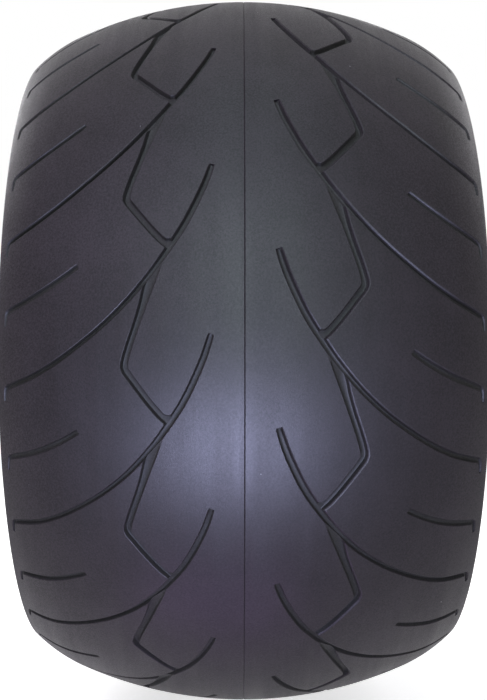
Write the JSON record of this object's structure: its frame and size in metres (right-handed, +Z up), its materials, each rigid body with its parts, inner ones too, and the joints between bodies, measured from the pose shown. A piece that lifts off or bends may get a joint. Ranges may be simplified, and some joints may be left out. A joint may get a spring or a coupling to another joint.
{
  "type": "motorcycle tire",
  "caption": "Very wide low-profile tubeless rear motorcycle tire with a chevron-like sweep of curved tread grooves, built up from tread, belts, ply, liner, beads and sidewalls.",
  "frame": {"origin": "centre of the tyre, on the axle line and the centre plane", "axes": "+Y along the axle, to the right as the picture shows it; +Z up as the tyre stands; the picture looks along -X"},
  "size_m": [0.6716, 0.3798, 0.6716],
  "materials": {
    "tread_rubber": "matte moulded, fine grain",
    "base_rubber": "uncured-side rubber, hidden",
    "sidewall_rubber": "moulded, slight sheen",
    "cushion_rubber": "soft gum, hidden",
    "liner_rubber": "smooth, slight sheen",
    "filler_rubber": "hard rubber, hidden",
    "overlay_cord": "coated nylon cord, hidden",
    "ply_cord": "coated polyester cord, hidden",
    "chafer_cloth": "rubberised woven strip, matte",
    "wrap_cloth": "square-woven coated cloth, hidden",
    "belt_steel": "coated steel cord, hidden",
    "bead_steel": "bronze-coated wire, hidden"
  },
  "bodies": {
    "root": {"tread_cap": "tread_rubber", "tread_base": "base_rubber", "overlay_ply": "overlay_cord", "belt_outer": "belt_steel", "belt_inner": "belt_steel", "shoulder_cushion_left": "cushion_rubber", "shoulder_cushion_right": "cushion_rubber", "carcass_ply": "ply_cord", "inner_liner": "liner_rubber", "bead_core_left": "bead_steel", "bead_wrap_left": "wrap_cloth", "bead_wrap_right": "wrap_cloth", "bead_core_right": "bead_steel", "bead_filler_left": "filler_rubber", "bead_filler_right": "filler_rubber", "sidewall_left": "sidewall_rubber", "sidewall_right": "sidewall_rubber", "chafer_left": "chafer_cloth", "chafer_right": "chafer_cloth"}
  },
  "joints": []
}
